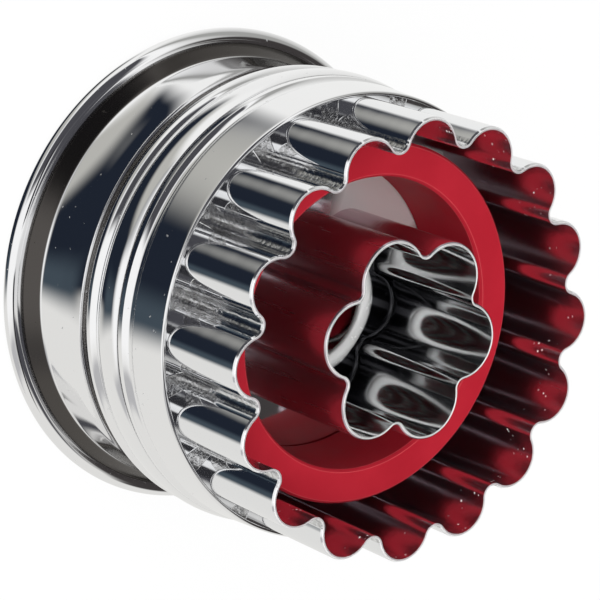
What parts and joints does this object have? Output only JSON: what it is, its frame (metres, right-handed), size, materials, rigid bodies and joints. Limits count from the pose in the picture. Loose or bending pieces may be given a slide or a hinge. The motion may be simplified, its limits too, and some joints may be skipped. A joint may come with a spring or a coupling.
{
  "type": "linzer cookie cutter",
  "caption": "Round pastry cutter in polished steel with a scalloped outer blade, a flower blade at its centre and a sprung red ring that pushes the cut biscuit out.",
  "frame": {"origin": "centre of the flat back of the rolled rim, on the cutter's axis", "axes": "+Z along the axis from the rim towards the cutting edges, +X through the crest of one scallop"},
  "size_m": [0.054, 0.054, 0.038],
  "materials": {
    "polished_steel": "mirror-polished stainless steel",
    "blade_steel": "bright stainless strip with fine rolling marks",
    "spring_steel": "drawn spring wire",
    "red_plastic": "satin moulded red plastic"
  },
  "bodies": {
    "body": {"grip_cup": "polished_steel", "holder_band": "polished_steel", "carrier_disc": "blade_steel", "fluted_cutter": "blade_steel", "flower_cutter": "blade_steel", "return_spring": "spring_steel"},
    "ejector": {"ejector_ring": "red_plastic", "thumb_plate": "red_plastic"}
  },
  "joints": [
    {"name": "ejector_push", "type": "slide", "parent": "body", "child": "ejector", "axis": [0, 0, 1], "range_m": [0, 0.0084], "stiffness_N_per_m": 800, "springref_m": -0.0035, "deforming": ["return_spring"]}
  ]
}
